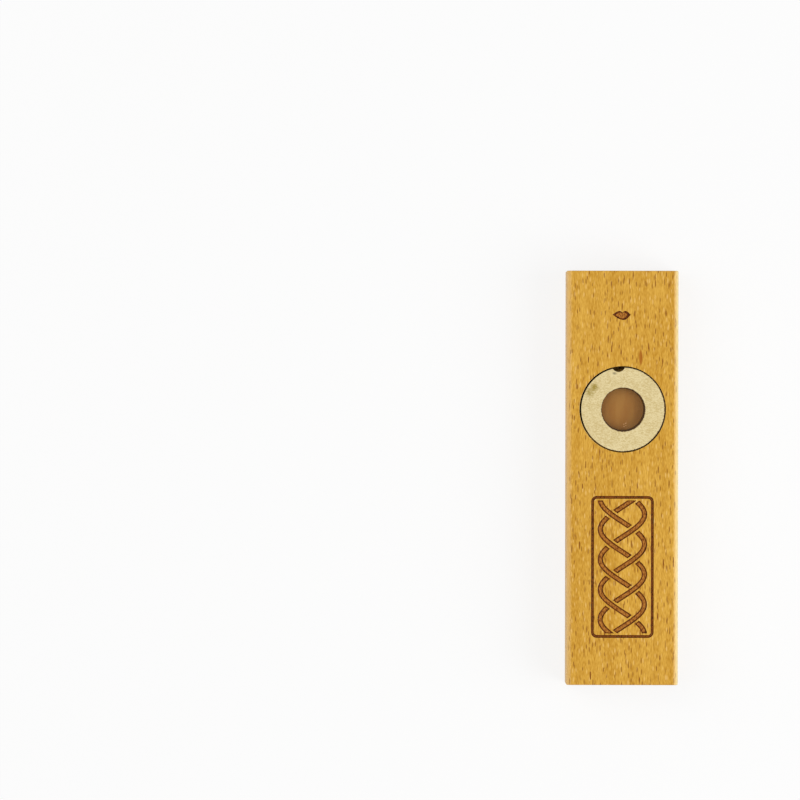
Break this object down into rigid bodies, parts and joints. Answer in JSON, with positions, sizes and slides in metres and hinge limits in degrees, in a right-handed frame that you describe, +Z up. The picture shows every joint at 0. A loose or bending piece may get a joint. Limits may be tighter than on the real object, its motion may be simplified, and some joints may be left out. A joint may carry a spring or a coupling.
{
  "type": "kazoo",
  "caption": "Rectangular wooden kazoo: a bar with a through air channel, a film membrane in a round pocket under a lift-off wooden ring with a fingernail notch, and a burnt plait ornament.",
  "frame": {"origin": "middle of the underside, on the surface that the kazoo lies on", "axes": "+Z up through the membrane's window, +Y along the body to the mouth end, +X to the right seen from above with the mouth end away"},
  "size_m": [0.031, 0.115, 0.015],
  "materials": {
    "beech_top": "oiled beech, sanded, laser-burnt marks",
    "beech_base": "oiled beech, sanded",
    "basswood_ring": "bare pale plywood with laser-burnt cut edges",
    "frame_card": "pressed cream card",
    "film": "thin stretched translucent film",
    "magnet_nickel": "nickel-plated"
  },
  "bodies": {
    "kazoo_body": {"body_base": "beech_base", "body_top": "beech_top", "seat_magnet_1": "magnet_nickel", "seat_magnet_2": "magnet_nickel", "seat_magnet_3": "magnet_nickel"},
    "membrane": {"membrane_film": "film", "membrane_frame": "frame_card"},
    "ring": {"retaining_ring": "basswood_ring", "ring_magnet_1": "magnet_nickel", "ring_magnet_2": "magnet_nickel", "ring_magnet_3": "magnet_nickel"}
  },
  "joints": [
    {"name": "membrane_lift", "type": "slide", "parent": "kazoo_body", "child": "membrane", "axis": [0, 0, 1], "range_m": [0, 0.015]},
    {"name": "ring_lift", "type": "slide", "parent": "membrane", "child": "ring", "axis": [0, 0, 1], "range_m": [0, 0.015]}
  ]
}
